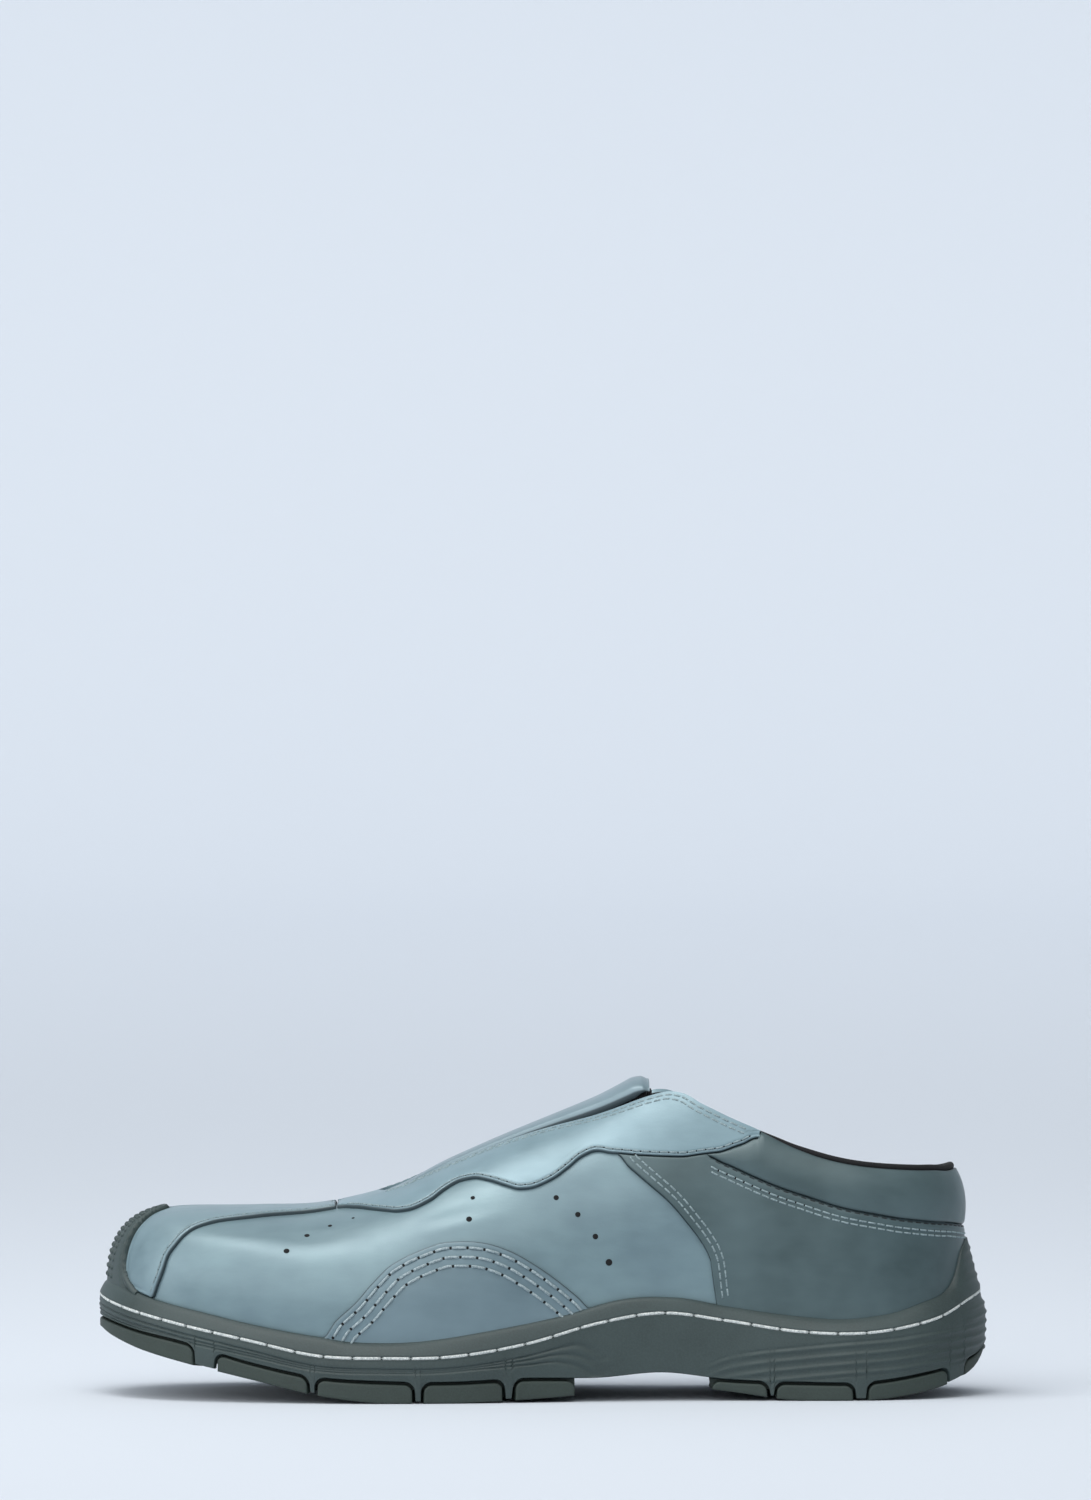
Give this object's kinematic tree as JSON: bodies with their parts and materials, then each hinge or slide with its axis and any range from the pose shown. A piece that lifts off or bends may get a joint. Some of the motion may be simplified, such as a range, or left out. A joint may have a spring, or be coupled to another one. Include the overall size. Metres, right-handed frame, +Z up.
{
  "type": "slip-on shoe",
  "caption": "Low slip-on shoe with a stitched cup sole, sewn leather overlays and a strap over an elastic gore.",
  "frame": {"origin": "on the floor under the middle of the sole's outline", "axes": "toe towards -X, heel towards +X, lateral side -Y, medial side +Y, +Z up"},
  "size_m": [0.299, 0.1064, 0.1068],
  "materials": {
    "upper": "smooth waxed leather, grey teal, slight sheen",
    "toe_panel": "smooth waxed leather, pale teal",
    "saddle": "smooth waxed leather, pale teal",
    "wing_lateral": "smooth waxed leather",
    "wing_medial": "smooth waxed leather",
    "quarter": "smooth waxed leather, darker",
    "collar_band": "smooth padded leather, darker",
    "strap": "smooth waxed leather",
    "gore": "ribbed elastic, near black",
    "insole": "brushed lining, near black",
    "midsole": "matte moulded polyurethane, dark grey green",
    "tread_forefoot": "matte rubber, dark green grey",
    "tread_heel": "matte rubber, dark green grey"
  },
  "bodies": {
    "root": {"upper": "upper", "toe_panel": "toe_panel", "saddle": "saddle", "wing_lateral": "wing_lateral", "wing_medial": "wing_medial", "quarter": "quarter", "collar_band": "collar_band", "strap": "strap", "gore": "gore", "insole": "insole", "midsole": "midsole", "tread_forefoot": "tread_forefoot", "tread_heel": "tread_heel"}
  },
  "joints": []
}
